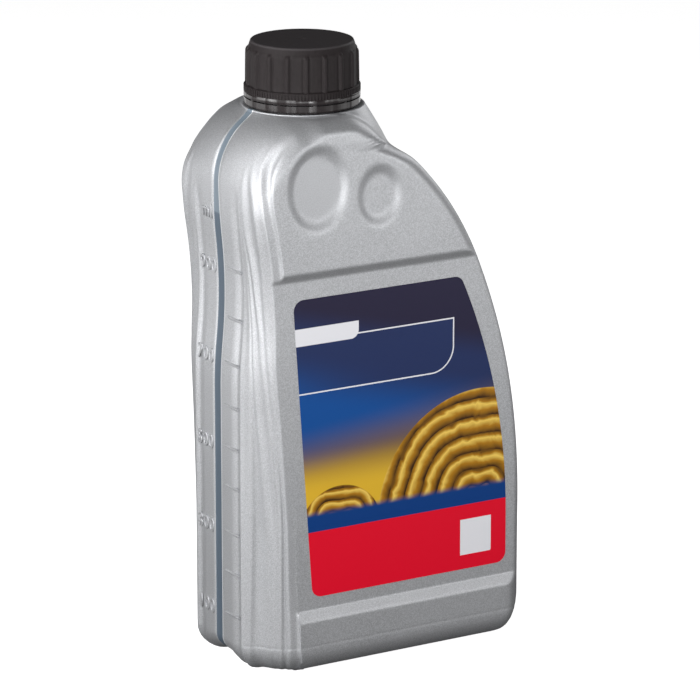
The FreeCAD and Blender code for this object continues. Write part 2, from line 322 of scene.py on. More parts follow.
body = {
    "halfWidth": 57.2,
    "halfDepth": 31.25,
    "top": 206.3,
    "neckX": -21.1,
    "wall": 1.1,
    "bandHalf": 16.6,
    "fluteTop": 183.0,
    "bandHollow": 0.85,
    "hollowY": 13.8,
    "hollowHalf": 1.9,
    "crown": (172.0, 198.0),
    "crownStart": 5.0,
    "crownDrop": 11.0,
    "rollDepth": 12.0,
    "rollStart": 21.65,
    "rollRadius": 9.6,
    "rollHeight": 6.6,
    "rollLeft": (-44.0, -29.0),
    "rollRight": (4.0, -10.0),
    "panelLow": 19.7,
    "panelHigh": 152.2,
    "ledge": 4.0,
    "lowLedge": 4.3,
    "panelSink": 1.7,
    "crease": 0.5,
    "seamZ": 10.4,
    "seamHalf": 0.55,
    "seamDepth": 0.07,
    "edgeHigh": 6.2,
    "edgeLow": 8.6,
    "footRight": 18.0,
    "footLeft": 9.5,
    "footFront": 8.0,
    "grooveHalf": 6.0,
    "grooveFlank": 5.5,
    "grooveDepth": 2.3,
}
dimples = [
    {"x": -32.7, "z": 181.8, "halfWidth": 13.3, "halfHeight": 16.6, "depth": 1.45, "flank": 4.8},
    {"x": -7.0, "z": 176.6, "halfWidth": 9.8, "halfHeight": 12.0, "depth": 1.25, "flank": 4.3},
]
# Fluted corner by height: each ridge's share of the corner's width, and the depth of the hollow before it
flutes = {
    "heights": (0, 15, 33, 56, 68, 83, 98, 113, 128, 143, 156, 166, 176, 183, 190),
    "ridges": (
        (0.25, 0.255, 0.275, 0.295, 0.3, 0.315, 0.315, 0.3, 0.21, 0.11, 0.05, 0.02, 0.01, 0.01, 0.01),
        (0.49, 0.495, 0.495, 0.5, 0.475, 0.44, 0.4, 0.355, 0.27, 0.16, 0.09, 0.035, 0.02, 0.02, 0.02),
        (0.55, 0.555, 0.565, 0.595, 0.59, 0.575, 0.545, 0.51, 0.415, 0.28, 0.17, 0.06, 0.03, 0.03, 0.03),
        (0.6, 0.605, 0.62, 0.64, 0.645, 0.635, 0.63, 0.605, 0.52, 0.455, 0.44, 0.395, 0.29, 0.21, 0.155),
        (0.68, 0.685, 0.68, 0.705, 0.7, 0.705, 0.72, 0.725, 0.685, 0.665, 0.7, 0.7, 0.62, 0.46, 0.325),
        (0.985, 0.985, 0.985, 0.985, 0.985, 0.985, 0.985, 0.98, 0.96, 0.95, 0.98, 0.985, 0.96, 0.84, 0.62),
    ),
    "hollows": (
        (0.35, 0.4, 0.45, 0.45, 0.5, 0.5, 0.45, 0.4, 0.3, 0.15, 0.1, 0.1, 0.05, 0, 0),
        (1.3, 1.4, 1.5, 1.5, 1.2, 0.9, 0.6, 0.3, 0.2, 0.1, 0, 0, 0, 0, 0),
        (0.2, 0.2, 0.3, 0.5, 0.8, 0.8, 0.8, 0.7, 0.6, 0.5, 0.3, 0.1, 0, 0, 0),
        (0.1, 0.1, 0.1, 0.2, 0.35, 0.4, 0.4, 0.5, 0.7, 0.95, 1.2, 1.2, 0.95, 0.45, 0),
        (0.7, 0.8, 0.8, 0.7, 0.5, 0.3, 0.35, 0.4, 0.5, 0.5, 0.5, 0.4, 0.3, 0.2, 0.1),
        (1.2, 1.3, 1.4, 1.4, 1.3, 1.2, 1.1, 1.0, 1.0, 1.1, 1.3, 1.4, 1.5, 1.5, 1.3),
        (0,) * 15,
    ),
    "points": (5, 7, 5, 6, 6, 8, 4),
    "cutHeights": (0, 24, 60, 82, 100, 120, 155, 183),
    "cut": (17.0, 16.5, 15.4, 14.1, 12.8, 10.6, 8.9, 7.2),
}
cornerFullness = (0.12, 0.32, 2.2)


def throughThree(values, t):
    low, middle, high = values
    return low * (1 - t) * (1 - 2 * t) + middle * 4 * t * (1 - t) + high * t * (2 * t - 1)


def arcPoints(centre, radius, start, end, count):
    turn = np.radians(np.linspace(start, end, count))
    return np.stack([centre[0] + radius * np.cos(turn), centre[1] + radius * np.sin(turn)], 1)


def arcChain(x, top, arcs):
    # Arcs that run on into one another, from a first X up to a top height
    centresX, centresZ = [], []
    for radius, start, end, count in arcs:
        centresX.append(x - radius * math.cos(math.radians(start)))
        x = centresX[-1] + radius * math.cos(math.radians(end))
    for radius, start, end, count in arcs[::-1]:
        centresZ.insert(0, top - radius * math.sin(math.radians(end)))
        top = centresZ[0] + radius * math.sin(math.radians(start))
    runs = [arcPoints(centre, *arc) for centre, arc in zip(zip(centresX, centresZ), arcs)]
    return [runs[0]] + [run[1:] for run in runs[1:]]


# Arcs of the front outline as radius, first and last turn in degrees, and number of points
sides = {
    "right": ((255.0, 0, 22.7, 220), (117.0, 22.7, 60, 220), (16.6, 60, 90, 60)),
    "left": ((27.0, 180, 120, 160), (12.0, 120, 90, 60)),
    "waistRadius": 181.0,
    "waistTurn": 6.0,
    "waistZ": 142.0,
    "below": -20.0,
}


def outlines():
    # Left and right side of the front outline, straight down at the foot, as points of x and z
    half, below = body["halfWidth"], sides["below"]
    right = [[(half, below)]] + arcChain(half, body["top"], sides["right"])
    waist, bend, middle = sides["waistRadius"], sides["waistTurn"], sides["waistZ"]
    rise = 2 * waist * math.sin(math.radians(bend))
    bulgeX = waist - half
    hollowX = bulgeX - 2 * waist * math.cos(math.radians(bend))
    left = [
        [(-half, below)],
        arcPoints((bulgeX, middle - rise), waist, 180, 180 - bend, 60),
        arcPoints((hollowX, middle), waist, -bend, bend, 120)[1:],
        arcPoints((bulgeX, middle + rise), waist, 180 + bend, 180, 60)[1:],
    ] + arcChain(-half, body["top"], sides["left"])
    return np.concatenate(left), np.concatenate(right)


leftLine, rightLine = outlines()
crownSpan = np.linspace(leftLine[-1, 0], rightLine[-1, 0], 60)
crownLine = np.stack([crownSpan, np.full(60, body["top"])], 1)
wholeLine = np.concatenate([leftLine, crownLine, rightLine[::-1]])


def depthInside(x, z):
    # Distance from points of one height to the front outline
    a, b = wholeLine[:-1], wholeLine[1:]
    step = b - a
    length = np.maximum((step**2).sum(1), 1e-12)
    px = np.asarray(x)[:, None]
    along = np.clip(((px - a[:, 0]) * step[:, 0] + (z - a[:, 1]) * step[:, 1]) / length, 0, 1)
    near = (px - a[:, 0] - along * step[:, 0]) ** 2 + (z - a[:, 1] - along * step[:, 1]) ** 2
    return np.sqrt(near.min(1))


def crownDepth(y):
    # Soft roll of the crown: how far the top has fallen at a distance from the middle plane
    start = body["crownStart"]
    part = np.clip((np.asarray(y) - start) / (body["halfDepth"] - start), 0, 1)
    return body["crownDrop"] * (1 - np.sqrt(1 - part**2))


def softTable(heights, values):
    # A table over height as a smooth curve, one value per millimetre
    level = np.arange(-10.0, 230.0)
    kernel = np.hanning(15)[1:-1]
    padded = np.pad(np.interp(level, heights, values), 6, mode="edge")
    return np.convolve(padded, kernel / kernel.sum(), "valid")


def tableAt(table, z):
    return float(np.interp(z, np.arange(-10.0, 230.0), table))


ridgeTables = [softTable(flutes["heights"], ridge) for ridge in flutes["ridges"]]
hollowTables = [softTable(flutes["heights"], hollow) for hollow in flutes["hollows"]]
cutTable = softTable(flutes["cutHeights"], flutes["cut"])


def stripeHalf(z):
    low, high = stripe["halfLow"], stripe["halfHigh"]
    return low + (high - low) * float(smoothStep(*stripe["taper"], z))


def bandLine(z):
    # Half of the flat band: the sunk stripe in its middle and a shallow hollow before its edge
    half = stripeHalf(z)
    y = np.array([0, 1.0, half - 0.15, half + 0.2, 4.0, 6.5, 9.0, 11.4, 12.7, 13.8, 14.9, 15.9])
    crown = float(smoothStep(*body["crown"], z))
    hollow = np.clip(1 - ((y - body["hollowY"]) / body["hollowHalf"]) ** 2, 0, 1)
    edgeHollow = body["bandHollow"] * hollow * float(smoothStep(182, 168, z))
    recess = stripe["sink"] * (y < half) * float(smoothStep(0, 3, z))
    return y, crownDepth(y) * crown + edgeHollow + recess


def leftProfile(z):
    # From the stripe over the band and the fluted corner: distance in from the side, and Y
    t = min(max(z / body["fluteTop"], 0), 1)
    crown = float(smoothStep(*body["crown"], z))
    shares = [0.0] + [tableAt(table, z) for table in ridgeTables] + [1.0]
    cut = tableAt(cutTable, z)
    weight = math.exp(throughThree([math.log(v) for v in cornerFullness], t))
    fade = 1 - float(smoothStep(189, 202, z))
    depth = [tableAt(table, z) * fade for table in hollowTables]
    share, sink = [], []
    for n, steps in enumerate(flutes["points"]):
        part = np.arange(steps) / steps
        share.append(shares[n] + (shares[n + 1] - shares[n]) * part)
        sink.append(depth[n] * np.sin(math.pi * part) ** 1.4)
    share = np.concatenate(share + [[1.0]])
    sink = np.concatenate(sink + [[0.0]])
    pull = 2 * weight * share * (1 - share)
    total = (1 - share) ** 2 + pull + share**2
    tall = body["halfDepth"] - body["bandHalf"]
    across = cut * share**2 / total
    y = body["bandHalf"] + tall * (pull + share**2) / total
    rollY = body["bandHalf"] + tall * np.sin(share * math.pi / 2)
    across = across * (1 - crown) + crownDepth(rollY) * crown
    y = y * (1 - crown) + rollY * crown
    run = math.hypot(cut, tall)
    across, y = across + sink * tall / run, y - sink * cut / run
    bandY, bandSink = bandLine(z)
    return np.concatenate([bandSink, across]), np.concatenate([bandY, y])


def rollReach(depth, start, length, radius):
    # Y at a depth under the crown's outline, for a roll that starts at a distance from the middle
    part = np.clip(depth / radius, 0, 1)
    return start + length * np.sqrt(1 - (1 - part) ** 2)


def frontRoll(x, y, z):
    # Rounder roll of the crown's front and back beside the neck
    if z < body["top"] - body["rollDepth"]:
        return y
    depth = np.maximum(depthInside(x, z), 0.02)
    start = body["crownStart"]
    far = rollReach(depth, start, body["halfDepth"] - start, body["crownDrop"])
    near = rollReach(depth, body["rollStart"], body["rollRadius"], body["rollHeight"])
    share = smoothStep(*body["rollLeft"], x) * smoothStep(*body["rollRight"], x)
    return y * (1 + (near / far - 1) * share)


def sideSamples(profile, line, z, toward):
    # Places a corner's profile (distance in, Y) at a height, where the outline may lean over
    across, y = profile
    start = np.interp(z, line[:, 1], line[:, 0])
    limit = crownSpan[len(crownSpan) // 2]
    xs = start + (limit - start) * np.linspace(0, 1, 500) ** 1.6
    inside = depthInside(xs, z)
    inside[0] = 0
    peak = int(np.argmax(inside > inside.max() - 1e-4))
    reach = inside[peak]
    rising = np.maximum.accumulate(inside[: peak + 1]) + np.arange(peak + 1) * 1e-9
    order = np.maximum.accumulate(across)
    held = np.minimum(across, reach)
    x = np.interp(held, rising, xs[: peak + 1])
    over = order > reach
    if over.any():
        first = int(np.argmax(over))
        y = y.copy()
        y[first:] = np.interp(reach, order + np.arange(len(order)) * 1e-9, y)
        x[first:] = xs[peak] + toward * np.arange(len(x) - first) * 0.03
    return x, y


def rightProfile(z):
    # Rounded front edge of the right side, softer near the foot and rolling over at the crown
    radius = body["edgeHigh"] + (body["edgeLow"] - body["edgeHigh"]) * smoothStep(125, 40, z)
    turn = np.radians(np.linspace(0, 90, 11))
    across = np.concatenate([radius * (1 - np.cos(turn)), np.zeros(8)])
    edge = body["halfDepth"] - radius
    y = np.concatenate([edge + radius * np.sin(turn), np.linspace(1, 0, 9)[1:] * edge])
    across[:11], y[:11] = across[10::-1].copy(), y[10::-1].copy()
    roll = float(smoothStep(186, 200, z))
    return across * (1 - roll) + crownDepth(y) * roll, y


def troughFace(z):
    # Limit of the front face: the sunk panel between its two sloping ledges
    inside = np.clip((z - body["panelLow"]) / body["lowLedge"], 0, 1)
    inside = inside * smoothStep(body["panelHigh"], body["panelHigh"] - body["ledge"], z)
    return body["halfDepth"] - body["panelSink"] * inside


faceCount = 84


def halfRing(z):
    # Front half of a ring, from the stripe round the label side to the far side
    x0, y0 = sideSamples(leftProfile(z), leftLine, z, 1)
    farX, farY = rightProfile(z)
    x1, y1 = sideSamples((farX[::-1], farY[::-1]), rightLine, z, -1)
    x1, y1 = x1[::-1], y1[::-1]
    part = np.linspace(0, 1, faceCount + 2)[1:-1]
    x = np.concatenate([x0, x0[-1] + (x1[0] - x0[-1]) * part, x1])
    y = frontRoll(x, np.concatenate([y0, y0[-1] + (y1[0] - y0[-1]) * part, y1]), z)
    limit, crease = troughFace(z), body["crease"]
    cut = y > limit - crease
    y = softMin(y, limit + 0 * y, crease)
    middle = len(x) // 2
    ahead = np.maximum.accumulate(np.where(cut, x, x[0]))
    behind = np.minimum.accumulate(np.where(cut, x, x[-1])[::-1])[::-1]
    left = np.arange(len(x)) < middle
    x = np.where(cut & left, np.maximum(x, ahead), np.where(cut, np.minimum(x, behind), x))
    for dimple in dimples:
        away = np.hypot((x - dimple["x"]) / dimple["halfWidth"], (z - dimple["z"]) / dimple["halfHeight"])
        inward = (1 - away) * math.sqrt(dimple["halfWidth"] * dimple["halfHeight"])
        y = y - dimple["depth"] * smoothStep(-0.2, dimple["flank"], inward) * (y > 20)
    return x, y


def closedRing(z):
    x, y = halfRing(z)
    return np.concatenate([x, x[-2:0:-1]]), np.concatenate([-y, y[-2:0:-1]])


flare = {
    "from": 186.0,
    "low": 191.0,
    "high": 205.9,
    "reach": 31.2,
    "fall": 8.3,
    "bend": 1.15,
    "collar": 21.9,
    "collarLean": 0.1,
    "even": (190.0, 202.0),
}


def neckFlare(z, turn):
    # Flare under the neck: long towards the far side, a short collar elsewhere
    t = (z - flare["low"]) / (flare["high"] - flare["low"])
    far = flare["reach"] - flare["fall"] * (t ** flare["bend"] if t > 0 else -1.5 * t)
    near = flare["collar"] + flare["collarLean"] * max(206.0 - z, 0)
    return far + (near - far) * smoothStep(0.5, 0.0, np.cos(turn))


def evenTurns(x, y, share):
    # Spreads a ring's points evenly in angle about the neck's axis, by a share
    turn = np.unwrap(np.arctan2(y, x - body["neckX"]))
    reach = np.hypot(x - body["neckX"], y)
    turn = np.maximum.accumulate(turn) + np.arange(len(turn)) * 1e-9
    even = turn[0] + 2 * math.pi * np.arange(len(turn)) / len(turn)
    aim = turn * (1 - share) + even * share
    whole = np.concatenate([turn - 2 * math.pi, turn, turn + 2 * math.pi])
    return aim, np.interp(aim, whole, np.tile(reach, 3))


def planNormals(x, y):
    # Outward directions of a ring, smoothed over its flutes
    size, reach = len(x), 7
    kernel = np.hanning(2 * reach + 3)[1:-1]
    kernel /= kernel.sum()
    wrapX = np.concatenate([x[-reach:], x, x[:reach]])
    wrapY = np.concatenate([y[-reach:], y, y[:reach]])
    sx, sy = np.convolve(wrapX, kernel, "valid"), np.convolve(wrapY, kernel, "valid")
    dx = np.roll(sx, -1) - np.roll(sx, 1)
    dy = np.roll(sy, -1) - np.roll(sy, 1)
    length = np.maximum(np.hypot(dx, dy), 1e-9)
    return (dy / length)[:size], (-dx / length)[:size]


def bottleRing(z):
    # One closed ring of the outer skin as points, with the foot and the neck's flare worked in
    x, y = closedRing(max(z, 0.0))
    height = np.full(len(x), float(z))
    if z > flare["from"]:
        turn, reach = evenTurns(x, y, float(smoothStep(*flare["even"], z)))
        reach = softMax(reach, neckFlare(z, turn), 2.2 + 0.8 * float(smoothStep(197, 203, z)))
        x, y = body["neckX"] + reach * np.cos(turn), reach * np.sin(turn)
    nx, ny = planNormals(x, y)
    side = np.where(nx > 0, body["footRight"], body["footLeft"])
    foot = side * nx**2 + body["footFront"] * ny**2
    onSeam = max(1 - abs(z - body["seamZ"]) / body["seamHalf"], 0)
    seam = body["seamDepth"] * onSeam * smoothStep(14.0, 17.0, np.abs(y))
    x, y = x - nx * seam, y - ny * seam
    low = np.clip(foot - z, 0, foot)
    inset = foot - np.sqrt(np.maximum(foot**2 - low**2, 0))
    x, y = x - nx * inset, y - ny * inset
    return x, y, height


# Rings of the outer skin, closer together at the foot, the ledges and the crown
footCurve = 15 * (1 - np.cos(np.radians(np.linspace(0, 90, 13))))
footHeights = np.sort(np.concatenate([footCurve, [9.8, 10.1, 10.7, 11.0]]))
sideHeights = np.concatenate([
    np.arange(16.2, 19.0, 1.3),
    np.arange(18.9, 24.9, 0.42),
    np.arange(25.4, 146.0, 1.3),
    np.arange(147.4, 152.9, 0.42),
    np.arange(153.8, 192.6, 1.15),
])
crownHeights = body["top"] - 13.2 * (np.linspace(1, 0.03, 26) ** 2)
outerHeights = np.concatenate([footHeights, sideHeights, crownHeights])


def grooveLift(y, z):
    # Rise of the foot over the groove along the parting plane
    shape = smoothStep(body["grooveHalf"] + body["grooveFlank"], body["grooveHalf"] - 1.5, np.abs(y))
    return body["grooveDepth"] * shape * smoothStep(13, 0, z)


def baseRings(ring, shares, height):
    x, y = ring
    centre = 0.5 * (x.min() + x.max())
    rings = []
    for share in shares:
        px, py = centre + (x - centre) * share, y * share
        rings.append(np.stack([px, py, height + grooveLift(py, 0)], 1))
    return rings


# Outside, rim and bore of the neck as radius and height
neckProfile = (
    (19.2, 205.95), (17.2, 205.9), (17.2, 209.6), (18.6, 209.65), (18.6, 210.2), (17.2, 211.25),
    (17.2, 226.6), (17.05, 226.98), (16.7, 227.2), (15.6, 227.2), (15.25, 227.0), (15.2, 226.6),
    (15.2, 205.3), (15.6, 204.7),
)
innerHeights = np.concatenate([
    [204.4, 203.2, 201.0, 198.0],
    np.arange(194.0, 16.0, -4.0),
    [12, 8, 5, 2.5, 1, 0.2],
])


def makeBottle():
    rings = []
    firstX, firstY, _ = bottleRing(0.0)
    shares = (0.05, 0.2, 0.35, 0.5, 0.65, 0.8, 0.92)
    rings += baseRings((firstX, firstY), shares, 0.0)
    for z in outerHeights:
        x, y, height = bottleRing(z)
        rings.append(np.stack([x, y, height + grooveLift(y, z)], 1))
    top = rings[-1]
    turn = np.arctan2(top[:, 1], top[:, 0] - body["neckX"])
    reach = np.hypot(top[:, 0] - body["neckX"], top[:, 1])

    def neckRing(radius, z):
        return np.stack([body["neckX"] + radius * np.cos(turn), radius * np.sin(turn), z + 0 * turn], 1)

    rings.append(neckRing(reach * 0.5 + 10.2, 206.3))
    rings += [neckRing(radius, z) for radius, z in neckProfile]
    for z in innerHeights:
        x, y, _ = bottleRing(z)
        nx, ny = planNormals(x, y)
        x, y = x - nx * body["wall"], y - ny * body["wall"]
        height = z + body["wall"] * smoothStep(14, 0, z) + 0 * x
        rings.append(np.stack([x, y, height + grooveLift(y, z)], 1))
    rings += baseRings((rings[-1][:, 0], rings[-1][:, 1]), shares[::-1], body["wall"])

    size = len(turn)
    points = np.concatenate(rings)
    faces = ringFaces(len(rings), size)
    first, last = len(points), len(points) + 1
    centres = [rings[0].mean(0), rings[-1].mean(0)]
    centres[0][2] = body["grooveDepth"]
    centres[1][2] = body["grooveDepth"] + body["wall"]
    points = np.concatenate([points, np.array(centres)])
    end = (len(rings) - 1) * size
    for n in range(size):
        m = (n + 1) % size
        faces.append((first, m, n))
        faces.append((end + n, end + m, last))
    bottle = addMesh("bottleShell", points, faces, shellMaterial)
    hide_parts("bottle")
    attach(bottle, "bottle")
    print("bottle", len(rings), "rings of", size)


makeBottle()


# Oil body: the space inside the shell up to the fill level

oil = {"gap": 0.5, "floor": 1.7, "level": 170.0}


def makeOil():
    inset = body["wall"] + oil["gap"]
    heights = np.concatenate([
        [0.0, 0.6, 1.8, 3.6, 6.0, 9.0, 12.5],
        np.arange(17.0, 168.0, 3.0),
        [oil["level"] - oil["floor"]],
    ])
    rings = []
    for z in heights:
        x, y, _ = bottleRing(z)
        nx, ny = planNormals(x, y)
        x, y = (x - nx * inset)[::2], (y - ny * inset)[::2]
        rings.append(np.stack([x, y, z + oil["floor"] + grooveLift(y, z)], 1))
    size = len(rings[0])
    low = baseRings((rings[0][:, 0], rings[0][:, 1]), (0.05, 0.3, 0.6, 0.85), oil["floor"])
    surface = [rings[-1] * (share, share, 1) for share in (0.7, 0.35, 0.05)]
    rings = low + rings + surface
    points = np.concatenate(rings)
    faces = ringFaces(len(rings), size)
    faces.append(tuple(range(size))[::-1])
    faces.append(tuple(len(points) - size + n for n in range(size)))
    made = addMesh("oilBody", points, faces, oilMaterial)
    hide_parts("engine_oil")
    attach(made, "bottle")
    print("oil", len(rings), "rings of", size)


makeOil()


# Geometry Nodes groups, each turned to a plain mesh once it is made

class Group:
    # A Geometry Nodes tree with a mesh in and a mesh out

    def __init__(self, name):
        self.tree = bpy.data.node_groups.new(name, "GeometryNodeTree")
        self.tree.interface.new_socket("Geometry", in_out="INPUT", socket_type="NodeSocketGeometry")
        self.tree.interface.new_socket("Geometry", in_out="OUTPUT", socket_type="NodeSocketGeometry")
        self.start = self.tree.nodes.new("NodeGroupInput")
        self.end = self.tree.nodes.new("NodeGroupOutput")
        self.values = {}

    def input(self, name, value, kind="NodeSocketFloat"):
        socket = self.tree.interface.new_socket(name, in_out="INPUT", socket_type=kind)
        self.values[socket.identifier] = value
        return self.start.outputs[name]

    def node(self, kind, **inputs):
        made = self.tree.nodes.new(kind)
        for key, value in inputs.items():
            socket = made.inputs[key.replace("_", " ")]
            if hasattr(value, "is_output"):
                self.tree.links.new(value, socket)
            else:
                socket.default_value = value
        return made

    def link(self, a, b):
        self.tree.links.new(a, b)

    def finish(self, geometry, material):
        # Realize Instances and Set Material, then the group's output
        real = self.node("GeometryNodeRealizeInstances", Geometry=geometry)
        paint = self.node("GeometryNodeSetMaterial", Geometry=real.outputs[0])
        paint.inputs["Material"].default_value = material
        self.link(paint.outputs[0], self.end.inputs[0])


def applied(name, base, group, rideOn):
    # The group's result on a base mesh, as a plain mesh that rides on a body
    obj = bpy.data.objects.new(name, base)
    bpy.context.scene.collection.objects.link(obj)
    modifier = obj.modifiers.new("shape", "NODES")
    modifier.node_group = group.tree
    for identifier, value in group.values.items():
        modifier[identifier] = value
    depsgraph = bpy.context.evaluated_depsgraph_get()
    result = bpy.data.meshes.new_from_object(obj.evaluated_get(depsgraph), depsgraph=depsgraph)
    obj.modifiers.clear()
    obj.data = result
    obj.name = name
    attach(obj, rideOn)
    print(name, len(result.polygons), "faces")
    return obj


def pointMesh(name, points):
    mesh = bpy.data.meshes.new(name)
    mesh.from_pydata([tuple(p) for p in np.asarray(points) * mm], [], [])
    return mesh


# Level marks: nine raised bars beside the stripe, a hundred millilitres apart

levels = {
    "heights": (20.2, 36.4, 51.7, 69.2, 84.0, 99.6, 115.6, 132.2, 150.3),
    "length": 9.6,
    "thick": 1.15,
    "flatness": 0.8,
    "middle": -10.2,
    "stand": 0.05,
}


def sideX(z):
    return float(np.interp(z, leftLine[:, 1], leftLine[:, 0]))


def makeLevels():
    group = Group("levelMarks")
    length = group.input("Length", levels["length"] * mm)
    thick = group.input("Thickness", levels["thick"] * mm)
    stand = group.input("Flatness", levels["flatness"])
    radius = group.node("ShaderNodeMath", Value=thick)
    radius.operation = "MULTIPLY"
    radius.inputs[1].default_value = 0.5
    rod = group.node("GeometryNodeMeshCylinder", Vertices=12, Radius=radius.outputs[0], Depth=length)
    bar = group.node("GeometryNodeTransform", Geometry=rod.outputs[0])
    bar.inputs["Rotation"].default_value = (math.pi / 2, 0, 0)
    size = group.node("ShaderNodeCombineXYZ", X=stand, Y=1.0, Z=1.0)
    points = group.start.outputs[0]
    marks = group.node("GeometryNodeInstanceOnPoints", Points=points, Instance=bar.outputs[0])
    group.link(size.outputs[0], marks.inputs["Scale"])
    group.finish(marks.outputs[0], shellMaterial)
    places = [(sideX(z) + levels["stand"], levels["middle"], z) for z in levels["heights"]]
    applied("levelMarks", pointMesh("levelPoints", places), group, "bottle")


makeLevels()

numerals = {
    "height": 5.2,
    "perSize": 0.73,  # height of a figure in a font of size one
    "stand": 0.3,
    "bevel": 0.18,
    "spacing": 1.12,
    "right": 2.9,
    "places": (("100", 19.5), ("300", 50.9), ("500", 82.8), ("700", 115.4), ("900", 149.0), ("ml", 169.5)),
}


def makeNumeral(words, z):
    # Raised plain figures on the back half of the band, upright beside the marks
    curve = bpy.data.curves.new("figures" + words, "FONT")
    curve.body = words
    curve.size = numerals["height"] / numerals["perSize"] * mm
    curve.extrude = numerals["stand"] * 0.5 * mm
    curve.bevel_depth = numerals["bevel"] * mm
    curve.bevel_resolution = 1
    curve.space_character = numerals["spacing"]
    curve.align_x = "RIGHT"
    curve.align_y = "CENTER"
    text = bpy.data.objects.new("figures" + words, curve)
    bpy.context.scene.collection.objects.link(text)
    depsgraph = bpy.context.evaluated_depsgraph_get()
    flat = bpy.data.meshes.new_from_object(text.evaluated_get(depsgraph))
    bpy.data.objects.remove(text)
    co = np.zeros(len(flat.vertices) * 3)
    flat.vertices.foreach_get("co", co)
    co = co.reshape(-1, 3) / mm
    height = z + co[:, 1]
    x = np.interp(height, leftLine[:, 1], leftLine[:, 0]) - co[:, 2] - numerals["stand"] * 0.5
    placed = np.stack([x, numerals["right"] - co[:, 0], height], 1) * mm
    flat.vertices.foreach_set("co", placed.ravel())
    flat.update()
    figures = bpy.data.objects.new("figures" + words, flat)
    bpy.context.scene.collection.objects.link(figures)
    flat.materials.clear()
    flat.materials.append(shellMaterial)
    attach(figures, "bottle")


for words, z in numerals["places"]:
    makeNumeral(words, z)
print("figures made")


# Screw cap: one closed skin in columns round its axis

cap = {
    "panel": 20.0,
    "ribCount": 18,
    "ribPhase": 4.0,
    "ribHalf": 0.62,
    "ribStand": 0.75,
    "perRib": 24,
    "groove": 0.22,
    "teeth": 112,
    "toothReach": 20.98,
    "toothZ": 212.62,
    "toothSize": (0.42, 0.62, 2.0),
}


def capRing(radius, z, rib, columns):
    # Ring of the cap; rib is how far the ribs stand out there
    pitch = 360 / cap["ribCount"]
    angle = np.degrees(columns) - cap["ribPhase"]
    off = np.abs((angle + pitch / 2) % pitch - pitch / 2)
    across = np.radians(off) * cap["panel"]
    shape = smoothStep(cap["ribHalf"] + 0.4, cap["ribHalf"] - 0.15, across)
    beside = smoothStep(0.45, 0.0, np.abs(across - cap["ribHalf"] - 0.62))
    reach = radius + cap["ribStand"] * rib * shape - cap["groove"] * min(rib, 1) * beside
    return np.stack([body["neckX"] + reach * np.cos(columns), reach * np.sin(columns), z + 0 * columns], 1)


# Radius, height and how far the ribs stand out, up the outside and down the inside
capOutside = (
    (20.9, 209.65, 0), (21.12, 209.75, 0), (21.2, 209.95, 0), (21.2, 211.45, 0), (21.12, 211.6, 0),
    (20.98, 211.68, 0), (20.98, 213.6, 0), (20.9, 213.85, 0), (20.75, 213.97, 0), (20.3, 214.0, 0.35),
    (20.05, 214.1, 0.9), (20.0, 214.35, 1), (19.99, 216.5, 1), (19.95, 219.0, 1), (19.91, 221.5, 1),
    (19.87, 224.0, 1), (19.85, 225.0, 1), (19.84, 225.6, 0.98), (19.83, 226.1, 0.9), (19.8, 226.5, 0.74),
    (19.74, 226.85, 0.5), (19.62, 227.15, 0.22), (19.5, 227.4, 0.05), (19.3, 227.9, 0), (19.1, 228.6, 0),
    (18.85, 229.3, 0), (18.7, 229.68, 0), (18.5, 229.88, 0), (18.2, 229.99, 0), (17.4, 230.0, 0),
    (12.0, 229.97, 0), (6.0, 229.95, 0), (2.2, 229.95, 0), (1.15, 229.93, 0), (0.9, 229.85, 0),
    (0.7, 229.72, 0),
)
capInside = (
    (0.7, 228.4, 0), (6.0, 228.4, 0), (12.0, 228.4, 0), (17.4, 228.4, 0), (17.55, 228.2, 0),
    (17.55, 225.2, 0), (18.9, 222.2, 0), (18.9, 209.9, 0), (19.1, 209.65, 0),
)


def makeCap():
    pitch = 2 * math.pi / cap["ribCount"]
    columns = np.arange(cap["ribCount"] * cap["perRib"]) * pitch / cap["perRib"]
    rings = [capRing(radius, z, rib, columns) for radius, z, rib in capOutside]
    size = len(columns)
    points = np.concatenate(rings)
    faces = ringFaces(len(rings), size)
    lower = [capRing(radius, z, rib, columns) for radius, z, rib in capInside]
    base = len(points)
    points = np.concatenate([points] + lower)
    faces += ringFaces(len(lower), size, base)
    tip, under = len(points), len(points) + 1
    points = np.concatenate([points, [[body["neckX"], 0, 229.7], [body["neckX"], 0, 228.4]]])
    end, foot = (len(rings) - 1) * size, base + (len(lower) - 1) * size
    for n in range(size):
        m = (n + 1) % size
        faces.append((end + n, end + m, tip))
        faces.append((base + m, base + n, under))
        faces.append((foot + n, foot + m, m, n))
    shell = addMesh("screwCapShell", points, faces, capMaterial)
    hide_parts("screw_cap")
    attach(shell, "cap")


makeCap()


